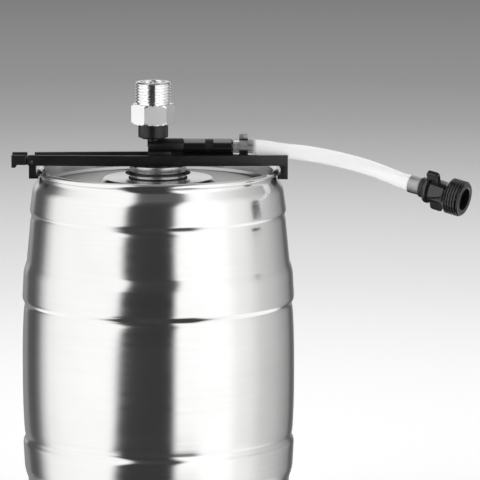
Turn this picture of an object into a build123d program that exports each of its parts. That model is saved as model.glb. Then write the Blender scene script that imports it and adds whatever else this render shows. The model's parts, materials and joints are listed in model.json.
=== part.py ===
from build123d import *
import math
import os

os.makedirs("parts", exist_ok=True)

# A 5 litre stainless mini keg with its tapping set clamped on: a bar with a sprung latch across the
# rim, a head with a threaded beer outlet, and a gas arm whose hose ends in a winged connector.
# Millimetres. +Z is up, +X runs along the gas arm, and the origin is the centre of the keg's foot.

# ---------------------------------------------------------------------------- driving dimensions
KEG_HEIGHT = 260.0  # foot to the top of the rim
SHEET = 0.8  # wall thickness of the keg
BEAD_IN, BEAD_OUT, BEAD_TALL = 73.6, 77.5, 4.0  # seam bead that joins an end to the body
NECK_R = 75.7  # body just under the bead, where the hooks grip
PLATEAU_R, PLATEAU_DROP = 34.7, 6.0  # raised middle of the top end, and its depth below the rim
CHANNEL_DROP = 10.5  # ring channel around the plateau
BUNG_HOLE_R = 18.3

BAR_LOW, BAR_FLOOR, BAR_TOP = 2.5, 5.2, 9.2  # clamp bar: underside, channel floor, top of its walls
BAR_HALF_HUB, BAR_HALF_END = 11.5, 8.5  # half depth of the bar at the hub and at its ends
BAR_SIDE = 2.2  # thickness of the bar's walls
BAR_RIGHT = 83.2
HUB_HOLE_R = 8.6

PIN_X, PIN_UP, PIN_R = -80.6, 4.75, 1.1  # latch pivot, measured from the rim's top
EAR_R = 2.6
LEVER_HALF = 5.75
TAB_LEFT, TAB_RIGHT, TAB_HALF = -93.7, -84.0, 8.5

HEAD_X = -3.0  # axis of the dip tube and the beer outlet
BLOCK_LEFT, BLOCK_RIGHT = -6.3, 16.8  # ends of the tap head's barrel
TUBE_R, TUBE_BORE = 3.0, 2.3
THREAD_R = 11.455  # G 5/8, outside radius
HEX_ACROSS_FLATS, HEX_TURN = 24.5, 6.6
COLLAR_LOW, HEX_LOW, THREAD_LOW, OUTLET_TOP = 20.0, 28.5, 41.7, 55.7

ARM_UP, ARM_R, ARM_BORE = 13.8, 5.2, 1.5  # gas arm: height of its axis above the rim, radius, bore
VALVE_CHAMBER_R = 3.2
HOSE_R, HOSE_BORE = 5.0, 3.0
RUNNING = 0.05  # radial clearance of a pin in its bore

RIM = Plane.XY.offset(KEG_HEIGHT)
HEAD = Plane(origin=(HEAD_X, 0, KEG_HEIGHT))
ARM = Plane(origin=(0, 0, KEG_HEIGHT + ARM_UP), x_dir=(0, 0, 1), z_dir=(1, 0, 0))
PIN = Plane(origin=(PIN_X, 0, KEG_HEIGHT + PIN_UP), x_dir=(1, 0, 0), z_dir=(0, -1, 0))
SIDE_VIEW = Plane(origin=(0, 0, KEG_HEIGHT), x_dir=(1, 0, 0), z_dir=(0, -1, 0))

# The connector hangs on the hose's end, pointing forwards and a little down.
CONNECTOR_START = Vector(161.3, -19.0, KEG_HEIGHT - 7.5)
CONNECTOR_AXIS = Vector(1.0, -0.5, -0.233).normalized()
CONNECTOR = Plane(origin=CONNECTOR_START, x_dir=CONNECTOR_AXIS.cross(Vector(0, 1, 0)), z_dir=CONNECTOR_AXIS)
HOSE_INSERTED = 9.5  # length of hose inside the connector's clamp


def finish(piece, node):
    """Label a finished piece and write it under its node name."""
    piece.part.label = node
    export_step(piece.part, f"parts/{node}.step")


def half_section(frame):
    """The plane that holds a half section: X is the radius and Y the height along the frame's Z."""
    return Plane(origin=frame.origin, x_dir=frame.x_dir, z_dir=-frame.y_dir)


def turned(frame, *outline):
    """A solid of revolution about the frame's Z axis, from (radius, height) corners."""
    with BuildPart() as piece:
        with BuildSketch(half_section(frame)):
            with BuildLine():
                Polyline(*outline, close=True)
            make_face()
        revolve(axis=Axis(frame.origin, frame.z_dir))
    return piece


# ---------------------------------------------------------------------------- keg
MID = KEG_HEIGHT / 2


def below_rim(radius, drop):
    return (radius, KEG_HEIGHT - drop)


with BuildPart() as keg_body:
    with BuildSketch(Plane.XZ):
        with BuildLine():
            Line(below_rim(NECK_R, BEAD_TALL), below_rim(NECK_R, 5.6))
            Line(below_rim(NECK_R, 5.6), below_rim(79.0, 10.2))
            ThreePointArc(below_rim(79.0, 10.2), below_rim(80.1, 12.3), below_rim(80.7, 14.8))
            Line(below_rim(80.7, 14.8), below_rim(82.3, 26.8))
            ThreePointArc(below_rim(82.3, 26.8), below_rim(81.4, 29.8), below_rim(81.9, 32.6))
            Line(below_rim(81.9, 32.6), below_rim(84.5, 59.8))
            ThreePointArc(below_rim(84.5, 59.8), below_rim(85.7, 63.2), below_rim(86.6, 67.2))
            Line(below_rim(86.6, 67.2), below_rim(87.4, 82.6))
            ThreePointArc(below_rim(87.4, 82.6), below_rim(86.1, 86.4), below_rim(86.6, 90.4))
            Line(below_rim(86.6, 90.4), below_rim(87.4, 110.0))
            Line(below_rim(87.4, 110.0), below_rim(87.6, MID))
            mirror(about=Plane.XZ.offset(-MID))
            offset(amount=SHEET, side=Side.RIGHT)
        make_face()
    revolve(axis=Axis.Z)
finish(keg_body, "keg_body")

with BuildPart() as keg_top_end:
    with BuildSketch(Plane.XZ) as top_section:
        with BuildLine():
            Line(below_rim(BEAD_IN, 2.0), below_rim(72.9, 8.6))
            ThreePointArc(below_rim(72.9, 8.6), below_rim(72.2, 9.9), below_rim(71.0, CHANNEL_DROP))
            Line(below_rim(71.0, CHANNEL_DROP), below_rim(39.5, CHANNEL_DROP))
            Line(below_rim(39.5, CHANNEL_DROP), below_rim(PLATEAU_R, PLATEAU_DROP))
            Line(below_rim(PLATEAU_R, PLATEAU_DROP), below_rim(BUNG_HOLE_R, PLATEAU_DROP))
            offset(amount=SHEET, side=Side.LEFT)
        make_face()
    revolve(axis=Axis.Z)
    with BuildSketch(Plane.XY.offset(KEG_HEIGHT - BEAD_TALL)):
        Circle(BEAD_OUT)
        Circle(BEAD_IN, mode=Mode.SUBTRACT)
    extrude(amount=BEAD_TALL)
    bead_edges = edges().filter_by(GeomType.CIRCLE).filter_by(lambda e: e.radius > BEAD_IN - 0.1)
    fillet(bead_edges.group_by(Axis.Z)[-1], radius=1.7)
    widest_edges = edges().filter_by(GeomType.CIRCLE).filter_by(lambda e: e.radius > BEAD_OUT - 0.01)
    fillet(widest_edges.sort_by(Axis.Z)[0], radius=1.2)
finish(keg_top_end, "keg_top_end")

with BuildPart() as keg_bottom_end:
    with BuildSketch(Plane.XZ):
        with BuildLine():
            Line((BEAD_IN, 2.0), (72.6, 11.0))
            ThreePointArc((72.6, 11.0), (0.0, 17.0), (-72.6, 11.0))
            offset(amount=SHEET, side=Side.RIGHT)
        make_face()
        split(bisect_by=Plane.YZ)
    revolve(axis=Axis.Z)
    with BuildSketch(Plane.XY):
        Circle(BEAD_OUT)
        Circle(BEAD_IN, mode=Mode.SUBTRACT)
    extrude(amount=BEAD_TALL)
    foot_edges = edges().filter_by(GeomType.CIRCLE).filter_by(lambda e: e.radius > BEAD_IN - 0.1)
    fillet(foot_edges.group_by(Axis.Z)[0], radius=1.2)
finish(keg_bottom_end, "keg_bottom_end")

# ---------------------------------------------------------------------------- bung and clamping stack
bung_seal = turned(
    RIM, (8.05, -5.5), (18.7, -5.5), (18.9, -5.7), (18.9, -6.0), (18.2, -6.0), (18.2, -6.85),
    (20.8, -6.85), (20.8, -9.0), (16.5, -15.0), (8.05, -15.0),
)
finish(bung_seal, "bung_seal")

seat_ring = turned(
    RIM, (8.05, -5.5), (17.8, -5.5), (18.1, -5.2), (18.1, -3.6), (17.8, -3.3), (8.05, -3.3)
)
finish(seat_ring, "seat_ring")

STACK_LOW = -2.6  # the gasket's upper face, under the ring, the crown and the head
ring_gasket = turned(
    RIM, (8.05, -3.3), (20.7, -3.3), (20.9, -3.1), (20.9, -2.8), (20.7, STACK_LOW), (8.05, STACK_LOW)
)
finish(ring_gasket, "ring_gasket")

compression_ring = turned(
    RIM, (16.0, STACK_LOW), (17.8, STACK_LOW), (18.1, -2.3), (18.1, 1.9), (17.7, 2.3), (16.3, 2.3), (16.0, 2.0)
)
finish(compression_ring, "compression_ring")

CROWN_IN, CROWN_OUT = 12.8, 15.75
TOOTH_GAP, TEETH_LOW = 4.4, -0.5
with BuildPart() as snap_crown:
    with BuildSketch(RIM.offset(STACK_LOW)):
        Circle(CROWN_OUT)
        Circle(CROWN_IN, mode=Mode.SUBTRACT)
    extrude(amount=BAR_LOW - STACK_LOW)
    with BuildSketch(RIM.offset(TEETH_LOW)):
        with PolarLocations(CROWN_OUT - 1.0, 8, start_angle=22.5):
            Rectangle(6.0, TOOTH_GAP)
    extrude(amount=BAR_LOW + 1.0, mode=Mode.SUBTRACT)
finish(snap_crown, "snap_crown")

# ---------------------------------------------------------------------------- clamp bar
BAR_STEM = PIN_X + 1.3  # left end of the full-height walls, where the ears begin
HUB_FLAT = 14.0  # half length of the bar's widest stretch
FRONT_EAR_LEFT = -83.2  # the front ear has the wall's full height and covers the pin's spring


def bar_outline(inset):
    """The bar's plan outline, wider at the hub, moved in by inset."""
    hub, end = BAR_HALF_HUB - inset, BAR_HALF_END - inset
    return [
        (BAR_STEM, -end), (-HUB_FLAT, -hub), (HUB_FLAT, -hub), (BAR_RIGHT, -end),
        (BAR_RIGHT, end), (HUB_FLAT, hub), (-HUB_FLAT, hub), (BAR_STEM, end),
    ]


HOOK_TIP, HOOK_LOW = 76.6, -6.2
HOOK_FACE = 78.6  # inner face of a hook, beside the bead
FLOOR_LEFT = -76.0
with BuildPart() as clamp_bar:
    with BuildSketch(RIM.offset(BAR_LOW)):
        with BuildLine():
            Polyline(*bar_outline(0), close=True)
        make_face()
    extrude(amount=BAR_TOP - BAR_LOW)
    with BuildSketch(SIDE_VIEW):
        with Locations((PIN_X, PIN_UP)):
            Circle(EAR_R)
            Rectangle(3.0, 2 * EAR_R, align=(Align.MIN, Align.CENTER))
    extrude(amount=BAR_HALF_END, both=True)
    with BuildSketch(SIDE_VIEW.offset(BAR_HALF_END)):
        with Locations((FRONT_EAR_LEFT, BAR_LOW)):
            Rectangle(BAR_STEM - FRONT_EAR_LEFT, BAR_TOP - BAR_LOW, align=(Align.MIN, Align.MIN))
        fillet(vertices().group_by(Axis.X)[0], radius=0.9)
    extrude(amount=-BAR_SIDE)
    with BuildSketch(SIDE_VIEW):
        with BuildLine():
            Polyline(
                (BAR_RIGHT, BAR_FLOOR), (BAR_RIGHT, HOOK_LOW), (HOOK_TIP, HOOK_LOW), (HOOK_TIP, -4.5),
                (HOOK_FACE, -3.2), (HOOK_FACE, 0.6), (HOOK_FACE - 3.0, BAR_FLOOR), close=True,
            )
        make_face()
    extrude(amount=BAR_HALF_END, both=True)
    with BuildSketch(RIM.offset(BAR_FLOOR)):
        with BuildLine():
            Polyline(*bar_outline(BAR_SIDE), close=True)
        make_face()
        with Locations((BAR_RIGHT, 0)):
            Rectangle(4.0, 2 * (BAR_HALF_END - BAR_SIDE))
    extrude(amount=BAR_TOP, mode=Mode.SUBTRACT)
    with BuildSketch(RIM):
        with Locations((FLOOR_LEFT, 0)):
            Rectangle(10.0, 2 * (BAR_HALF_END - BAR_SIDE), align=(Align.MAX, Align.CENTER))
        Circle(HUB_HOLE_R)
    extrude(amount=BAR_TOP + 1.0, mode=Mode.SUBTRACT)
    with BuildSketch(PIN):
        Circle(PIN_R)
    extrude(amount=BAR_HALF_END, both=True, mode=Mode.SUBTRACT)
finish(clamp_bar, "clamp_bar")

with BuildPart() as latch_pin:
    with BuildSketch(PIN):
        Circle(PIN_R)
    extrude(amount=BAR_HALF_END, both=True)
    chamfer(edges().filter_by(GeomType.CIRCLE), 0.2)
finish(latch_pin, "latch_pin")

# The lever is a bell crank: hook below the pin, finger tab to its left.
SPRING_NEAR, SPRING_FAR = 1.8, 4.8  # the spring's slot, from the middle of the lever towards the front
TAB_LOW, TAB_WALL, LIP_LOW = 3.0, 2.0, 1.2  # the tab is a channel too, open at both ends
with BuildPart() as latch_lever:
    with BuildSketch(SIDE_VIEW):
        with Locations((PIN_X, PIN_UP)):
            Circle(EAR_R)
        with BuildLine():
            Polyline(
                (PIN_X - 2.0, PIN_UP), (PIN_X - 2.0, HOOK_LOW), (-HOOK_TIP, HOOK_LOW), (-HOOK_TIP, -4.5),
                (PIN_X + 2.4, -3.2), (PIN_X + 2.4, PIN_UP), close=True,
            )
        make_face()
        with BuildLine():
            Polyline(
                (PIN_X, PIN_UP + EAR_R), (TAB_RIGHT - 0.4, PIN_UP + EAR_R), (TAB_RIGHT - 0.4, TAB_LOW),
                (PIN_X, PIN_UP - EAR_R), close=True,
            )
        make_face()
    extrude(amount=LEVER_HALF, both=True)
    with BuildSketch(SIDE_VIEW):
        with BuildLine():
            Polyline(
                (TAB_RIGHT, TAB_LOW), (TAB_RIGHT, BAR_TOP), (TAB_LEFT, BAR_TOP), (TAB_LEFT, LIP_LOW),
                (TAB_LEFT + 2.5, LIP_LOW), (TAB_LEFT + 3.7, TAB_LOW), close=True,
            )
        make_face()
    extrude(amount=TAB_HALF, both=True)
    tab_corners = edges().filter_by(Axis.Z).filter_by(lambda e: abs(e.center().Y) > LEVER_HALF + 1)
    fillet(tab_corners, radius=0.8)
    with BuildSketch(RIM.offset(BAR_FLOOR)):
        with Locations((TAB_RIGHT, 0)):
            Rectangle(TAB_RIGHT - TAB_LEFT + 1.0, 2 * (TAB_HALF - TAB_WALL), align=(Align.MAX, Align.CENTER))
    extrude(amount=BAR_TOP, mode=Mode.SUBTRACT)
    with BuildSketch(Plane.XY.offset(KEG_HEIGHT + PIN_UP - EAR_R - 0.3)):
        with Locations((PIN_X - 3.0, -(SPRING_NEAR + SPRING_FAR) / 2)):
            Rectangle(8.0, SPRING_FAR - SPRING_NEAR, align=(Align.MIN, Align.CENTER))
    extrude(amount=2 * EAR_R + 0.6, mode=Mode.SUBTRACT)
    with BuildSketch(PIN):
        Circle(PIN_R + RUNNING)
    extrude(amount=BAR_HALF_END, both=True, mode=Mode.SUBTRACT)
finish(latch_lever, "latch_lever")

# Torsion spring: a coil on the pin, with one leg against the bar's floor and one against the lever.
COIL_R, COIL_WIRE, COIL_PITCH, COIL_TURNS = 1.75, 0.3, 0.72, 3
COIL_Y = -2.2
with BuildPart() as latch_spring:
    with BuildLine() as coil:
        Helix(pitch=COIL_PITCH, height=COIL_PITCH * COIL_TURNS, radius=COIL_R,
              center=(PIN_X, COIL_Y, KEG_HEIGHT + PIN_UP), direction=(0, -1, 0))
    with BuildSketch(Plane(origin=coil.line @ 0, z_dir=coil.line % 0)):
        Circle(COIL_WIRE)
    sweep(is_frenet=True)
    with BuildSketch(Plane(origin=coil.line @ 0, z_dir=(-1, 0, 0))):
        Circle(COIL_WIRE)
    extrude(amount=2.8)
    with BuildSketch(Plane(origin=coil.line @ 1, z_dir=(1, 0, 0))):
        Circle(COIL_WIRE)
    extrude(amount=FLOOR_LEFT - PIN_X)
finish(latch_spring, "latch_spring")

# ---------------------------------------------------------------------------- tap head
GAS_X = 3.6  # gas passage, beside the beer tube
SPIGOT_R, SPIGOT_LOW = 7.95, -20.0
NECK_OUT, NECK_TOP = 7.3, 34.3
BARREL_R, RIBS, RIB_WIDE, RIB_TALL = 4.85, 12, 1.1, 0.45  # ribbed barrel at the foot of the gas arm
RIB_LEFT, RIB_RIGHT = -4.4, 16.2
STEM_HALF, STEM_RIGHT, STEM_TOP = 4.6, 8.5, 11.0  # block under the barrel, in the bar's channel
THROAT_R, NECK_LOW = 3.7, 19.2  # round the beer tube, between the barrel and the neck
with BuildPart() as head_body:
    with BuildSketch(RIM.offset(SPIGOT_LOW)):
        Circle(SPIGOT_R)
    extrude(amount=STACK_LOW - SPIGOT_LOW)
    chamfer(faces().sort_by(Axis.Z)[0].edges(), 1.0)
    with BuildSketch(RIM.offset(STACK_LOW)):
        Circle(CROWN_IN - 0.1)
    extrude(amount=BAR_LOW - STACK_LOW)
    with BuildSketch(RIM.offset(BAR_LOW)):
        Circle(HUB_HOLE_R - 0.05)
    extrude(amount=BAR_FLOOR - BAR_LOW)
    with BuildSketch(RIM.offset(BAR_FLOOR)):
        with Locations((BLOCK_LEFT, 0)):
            Rectangle(STEM_RIGHT - BLOCK_LEFT, 2 * STEM_HALF, align=(Align.MIN, Align.CENTER))
    extrude(amount=STEM_TOP - BAR_FLOOR)
    with BuildSketch(ARM.offset(BLOCK_LEFT)):
        Circle(BARREL_R)
    extrude(amount=BLOCK_RIGHT - BLOCK_LEFT)
    with BuildSketch(ARM.offset(RIB_LEFT)):
        with PolarLocations(BARREL_R, RIBS, start_angle=180 / RIBS):
            Rectangle(2 * RIB_TALL, RIB_WIDE)
    extrude(amount=RIB_RIGHT - RIB_LEFT)
    with BuildSketch(HEAD.offset(ARM_UP)):
        Circle(THROAT_R)
    extrude(amount=NECK_LOW - ARM_UP)
    with BuildSketch(HEAD.offset(NECK_LOW)):
        Circle(NECK_OUT)
    extrude(amount=NECK_TOP - NECK_LOW)
    with BuildSketch(HEAD.offset(SPIGOT_LOW)):
        Circle(TUBE_R + RUNNING)
    extrude(amount=NECK_TOP - SPIGOT_LOW, mode=Mode.SUBTRACT)
    with BuildSketch(HEAD.offset(30.0)):
        Circle(4.7)
    extrude(amount=NECK_TOP, mode=Mode.SUBTRACT)
    with BuildSketch(RIM.offset(SPIGOT_LOW)):
        with Locations((GAS_X, 0)):
            Circle(1.2)
    extrude(amount=ARM_UP - SPIGOT_LOW, mode=Mode.SUBTRACT)
    with BuildSketch(ARM.offset(GAS_X - 1.6)):
        Circle(ARM_BORE)
    extrude(amount=BLOCK_RIGHT, mode=Mode.SUBTRACT)
finish(head_body, "head_body")

DIP_LOW = 22.0 - KEG_HEIGHT
dip_tube = turned(
    HEAD, (TUBE_BORE, DIP_LOW), (TUBE_R, DIP_LOW), (TUBE_R, 33.0), (4.5, 33.0), (4.5, 34.0), (TUBE_BORE, 34.0)
)
finish(dip_tube, "dip_tube")

with BuildPart() as tube_oring:
    with BuildSketch(half_section(HEAD)):
        with Locations((3.85, 31.0)):
            Circle(0.8)
    revolve(axis=Axis(HEAD.origin, (0, 0, 1)))
finish(tube_oring, "tube_oring")

top_collar = turned(
    HEAD, (NECK_OUT + RUNNING, COLLAR_LOW), (9.2, COLLAR_LOW), (9.6, 20.4), (9.6, HEX_LOW),
    (NECK_OUT + RUNNING, HEX_LOW),
)
finish(top_collar, "top_collar")

OUTLET_BORE, OUTLET_FLOOR, OUTLET_WAY = 8.0, 45.0, 4.5
with BuildPart() as hex_adaptor:
    with BuildSketch(HEAD.offset(HEX_LOW)):
        RegularPolygon(HEX_ACROSS_FLATS / 2, 6, major_radius=False, rotation=HEX_TURN)
    extrude(amount=THREAD_LOW - HEX_LOW)
    with BuildSketch(HEAD.offset(THREAD_LOW)):
        Circle(THREAD_R)
    extrude(amount=OUTLET_TOP - THREAD_LOW)
    chamfer(faces().sort_by(Axis.Z)[-1].edges(), 1.0)
    with BuildSketch(HEAD.offset(HEX_LOW)):
        Circle(NECK_OUT + RUNNING)
    extrude(amount=NECK_TOP + 0.1 - HEX_LOW, mode=Mode.SUBTRACT)
    with BuildSketch(HEAD.offset(HEX_LOW)):
        Circle(OUTLET_WAY)
    extrude(amount=OUTLET_TOP, mode=Mode.SUBTRACT)
    with BuildSketch(HEAD.offset(OUTLET_FLOOR)):
        Circle(OUTLET_BORE)
    extrude(amount=OUTLET_TOP, mode=Mode.SUBTRACT)
finish(hex_adaptor, "hex_adaptor")

outlet_washer = turned(
    HEAD, (OUTLET_WAY, OUTLET_FLOOR), (7.9, OUTLET_FLOOR), (7.9, OUTLET_FLOOR + 2), (OUTLET_WAY, OUTLET_FLOOR + 2)
)
finish(outlet_washer, "outlet_washer")

# ---------------------------------------------------------------------------- gas arm and check valve
UNION_LEFT, UNION_SPLIT, UNION_RIGHT = 30.3, 33.0, 35.6  # ring over the joint of the arm's halves
UNION_BORE = 4.3
CHAMBER_LEFT, SEAT_X = 24.0, 40.0
TAIL_RIGHT, BARB_END = 48.3, 62.6
gas_arm = turned(
    ARM, (ARM_BORE, BLOCK_RIGHT), (ARM_R, BLOCK_RIGHT), (ARM_R, UNION_LEFT), (UNION_BORE, UNION_LEFT),
    (UNION_BORE, UNION_SPLIT), (VALVE_CHAMBER_R, UNION_SPLIT), (VALVE_CHAMBER_R, CHAMBER_LEFT),
    (ARM_BORE, CHAMBER_LEFT),
)
finish(gas_arm, "gas_arm")

union_ring = turned(
    ARM, (UNION_BORE, UNION_LEFT), (ARM_R - 0.1, UNION_LEFT), (ARM_R - 0.1, UNION_RIGHT), (UNION_BORE, UNION_RIGHT)
)
finish(union_ring, "union_ring")

hose_tail = turned(
    ARM, (VALVE_CHAMBER_R, UNION_SPLIT), (UNION_BORE, UNION_SPLIT), (UNION_BORE, UNION_RIGHT),
    (ARM_R, UNION_RIGHT), (ARM_R, TAIL_RIGHT - 1.2), (ARM_R - 1.2, TAIL_RIGHT), (HOSE_BORE, TAIL_RIGHT),
    (HOSE_BORE, BARB_END - 0.8), (HOSE_BORE - 0.8, BARB_END), (ARM_BORE, BARB_END), (ARM_BORE, SEAT_X),
    (VALVE_CHAMBER_R, SEAT_X),
)
finish(hose_tail, "hose_tail")

SEAL_THICK, DISC_R, DISC_THICK, STEM_R, STEM_LEFT = 0.8, 2.7, 1.6, 0.9, 29.0
SEAT_GAP = 0.03
DISC_RIGHT = SEAT_X - SEAT_GAP - SEAL_THICK
valve_seal = turned(
    ARM, (0.9, DISC_RIGHT), (DISC_R, DISC_RIGHT), (DISC_R, SEAT_X - SEAT_GAP), (0.9, SEAT_X - SEAT_GAP)
)
finish(valve_seal, "valve_seal")

valve_poppet = turned(
    ARM, (0, STEM_LEFT), (STEM_R, STEM_LEFT), (STEM_R, DISC_RIGHT - DISC_THICK), (DISC_R, DISC_RIGHT - DISC_THICK),
    (DISC_R, DISC_RIGHT), (0.9, DISC_RIGHT), (0.9, SEAT_X - SEAT_GAP), (0, SEAT_X - SEAT_GAP),
)
finish(valve_poppet, "valve_poppet")

SPRING_R, SPRING_WIRE, SPRING_TURNS = 1.9, 0.25, 6
spring_long = DISC_RIGHT - DISC_THICK - CHAMBER_LEFT - 2 * SPRING_WIRE - 0.1
with BuildPart() as valve_spring:
    with BuildLine() as coil:
        Helix(pitch=spring_long / SPRING_TURNS, height=spring_long, radius=SPRING_R,
              center=(CHAMBER_LEFT + SPRING_WIRE + 0.05, 0, KEG_HEIGHT + ARM_UP), direction=(1, 0, 0))
    with BuildSketch(Plane(origin=coil.line @ 0, z_dir=coil.line % 0)):
        Circle(SPRING_WIRE)
    sweep(is_frenet=True)
finish(valve_spring, "valve_spring")

# ---------------------------------------------------------------------------- hose and its clamps
BAND_THICK = 0.6


def hose_band(frame, start, length):
    """A clamp's metal band round the hose."""
    inner, outer = HOSE_R, HOSE_R + BAND_THICK
    return turned(frame, (inner, start), (outer, start), (outer, start + length), (inner, start + length))


hose_clamp = hose_band(ARM, 52.1, 5.6)
finish(hose_clamp, "hose_clamp")

# The clamp's screw sits across a small block on top of the band.
with BuildPart() as clamp_screw:
    with BuildSketch(RIM.offset(ARM_UP + HOSE_R + BAND_THICK)):
        with Locations((54.9, 0)):
            Rectangle(5.8, 7.0)
    extrude(amount=2.9)
    fillet(edges().filter_by(Axis.Z), 0.6)
    with BuildSketch(Plane(origin=(54.9, -3.5, KEG_HEIGHT + 20.9), z_dir=(0, -1, 0))):
        Circle(1.2)
    extrude(amount=0.8)
finish(clamp_screw, "clamp_screw")

hose_end = CONNECTOR_START + CONNECTOR_AXIS * HOSE_INSERTED
last_bend = CONNECTOR_START - CONNECTOR_AXIS * 3.0
HOSE_ROUTE = [
    (TAIL_RIGHT + 0.05, 0.0, KEG_HEIGHT + 13.8),
    (63.6, 0.0, KEG_HEIGHT + 13.8),
    (79.2, -0.1, KEG_HEIGHT + 11.0),
    (94.0, -0.9, KEG_HEIGHT + 9.8),
    (109.0, -2.6, KEG_HEIGHT + 7.4),
    (123.5, -5.4, KEG_HEIGHT + 4.3),
    (137.0, -9.2, KEG_HEIGHT + 0.8),
    (149.2, -13.6, KEG_HEIGHT - 3.5),
    tuple(last_bend),
    tuple(hose_end),
]


def bend_radii(route):
    """The largest arc that each corner's two runs leave room for."""
    points = [Vector(*p) for p in route]
    radii = []
    for before, corner, after in zip(points, points[1:], points[2:]):
        run_in, run_out = corner - before, after - corner
        turn = math.radians(run_in.get_angle(run_out))
        radii.append(0.45 * min(run_in.length, run_out.length) / math.tan(turn / 2))
    return radii


hose_radii = bend_radii(HOSE_ROUTE)
print("hose bend radii", [round(r) for r in hose_radii])
with BuildPart() as gas_hose:
    with BuildLine() as hose_path:
        FilletPolyline(*HOSE_ROUTE, radius=hose_radii)
    with BuildSketch(Plane(origin=hose_path.line @ 0, z_dir=hose_path.line % 0)):
        Circle(HOSE_R)
        Circle(HOSE_BORE, mode=Mode.SUBTRACT)
    sweep()
hose_length = sum(edge.length for edge in hose_path.edges())
hose_area = math.pi * (HOSE_R**2 - HOSE_BORE**2)
print("hose length", round(hose_length, 1), "volume over section times length",
      round(gas_hose.part.volume / hose_area / hose_length, 4))
finish(gas_hose, "gas_hose")

# ---------------------------------------------------------------------------- winged connector
STOP_NEAR, STOP_FAR = 9.55, 11.0  # stop ring between the clamp and the winged body
STEM, NOSE_R, NOSE_AT, NOSE_THICK = 2.8, 6.2, 28.0, 2.5
WIDE_BORE, WIDE_BORE_AT, END_FACE = 6.9, 27.9, 38.7
WING_R, WING_NEAR, WING_FAR, WING_THICK, WING_TILT = 16.2, 13.3, 21.7, 3.2, 35.0
WING_ROOT = 7.0

connector_clamp = hose_band(CONNECTOR, 0.0, 7.1)
finish(connector_clamp, "connector_clamp")

connector_tail = turned(
    CONNECTOR, (ARM_BORE, 2.0), (HOSE_BORE - 0.7, 2.0), (HOSE_BORE, 2.8), (HOSE_BORE, HOSE_INSERTED + 0.05),
    (STEM, HOSE_INSERTED + 0.05), (STEM, NOSE_AT), (NOSE_R, NOSE_AT), (NOSE_R, NOSE_AT + NOSE_THICK),
    (ARM_BORE, NOSE_AT + NOSE_THICK),
)
finish(connector_tail, "connector_tail")

stop_ring = turned(CONNECTOR, (STEM, STOP_NEAR), (5.8, STOP_NEAR), (5.8, STOP_FAR), (STEM, STOP_FAR))
finish(stop_ring, "stop_ring")

with BuildPart() as connector_body:
    with BuildSketch(half_section(CONNECTOR)):
        with BuildLine():
            Line((STEM + RUNNING, 11.1), (6.6, 11.1))
            ThreePointArc((6.6, 11.1), (8.2, 11.7), (8.9, 13.0))
            Polyline(
                (8.9, 13.0), (8.8, 14.6), (8.0, 15.8), (7.8, 25.6), (THREAD_R, 28.7), (THREAD_R, 37.2), (10.6, 37.2), (10.6, END_FACE - 0.5),
                (10.1, END_FACE), (WIDE_BORE, END_FACE), (WIDE_BORE, WIDE_BORE_AT),
                (STEM + RUNNING, WIDE_BORE_AT), (STEM + RUNNING, 11.1),
            )
        make_face()
    revolve(axis=Axis(CONNECTOR.origin, CONNECTOR.z_dir))
    with BuildSketch(CONNECTOR.offset(WING_NEAR)):
        with PolarLocations(WING_ROOT, 2, start_angle=WING_TILT):
            Rectangle(WING_R - WING_ROOT, WING_THICK, align=(Align.MIN, Align.CENTER))
    extrude(amount=WING_FAR - WING_NEAR)
    wing_tips = edges().filter_by(lambda e: (e.center() - CONNECTOR.origin).cross(CONNECTOR.z_dir).length > 14)
    fillet(wing_tips, radius=0.8)
finish(connector_body, "connector_body")

connector_washer = turned(
    CONNECTOR, (ARM_BORE, 30.5), (6.6, 30.5), (6.6, 32.3), (ARM_BORE, 32.3)
)
finish(connector_washer, "connector_washer")
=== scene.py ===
import json
import math

import bmesh
import bpy
from mathutils import Matrix, Vector


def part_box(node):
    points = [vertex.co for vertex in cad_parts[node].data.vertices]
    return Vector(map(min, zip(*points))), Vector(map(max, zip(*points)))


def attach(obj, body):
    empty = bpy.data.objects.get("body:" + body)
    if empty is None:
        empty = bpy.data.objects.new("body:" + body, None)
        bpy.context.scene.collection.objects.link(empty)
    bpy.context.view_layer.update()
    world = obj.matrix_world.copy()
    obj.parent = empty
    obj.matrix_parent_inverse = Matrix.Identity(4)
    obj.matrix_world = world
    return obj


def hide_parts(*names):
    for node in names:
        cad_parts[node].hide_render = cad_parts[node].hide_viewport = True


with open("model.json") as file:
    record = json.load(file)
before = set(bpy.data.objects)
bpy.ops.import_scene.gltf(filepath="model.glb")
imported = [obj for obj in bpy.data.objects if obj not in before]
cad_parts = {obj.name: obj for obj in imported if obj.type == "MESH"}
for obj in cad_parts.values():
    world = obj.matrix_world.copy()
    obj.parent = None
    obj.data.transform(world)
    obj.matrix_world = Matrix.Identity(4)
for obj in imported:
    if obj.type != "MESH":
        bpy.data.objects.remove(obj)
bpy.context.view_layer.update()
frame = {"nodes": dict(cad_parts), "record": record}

# The scene is in metres, in the row frame. MM turns the part's millimetres into metres.
MM = 0.001
RIM_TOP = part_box("keg_top_end")[1].z
KEG_TALL = RIM_TOP / MM
scene = bpy.context.scene
scene.view_settings.view_transform = "Standard"

# ---------------------------------------------------------------------------- camera
camera_data = bpy.data.cameras.new("camera")
camera_data.lens = 350
camera_data.sensor_width = 36
camera_data.clip_end = 60
camera = bpy.data.objects.new("camera", camera_data)
scene.collection.objects.link(camera)
CAMERA_TARGET = Vector((0.0526, 0.0, 0.2132))
CAMERA_RISE, CAMERA_FAR = math.radians(8.8), 3.0
camera_back = Vector((0, -math.cos(CAMERA_RISE), math.sin(CAMERA_RISE)))
camera.location = CAMERA_TARGET + camera_back * CAMERA_FAR
camera.rotation_mode = "QUATERNION"
camera.rotation_quaternion = (-camera_back).to_track_quat("-Z", "Y")
scene.camera = camera


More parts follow.
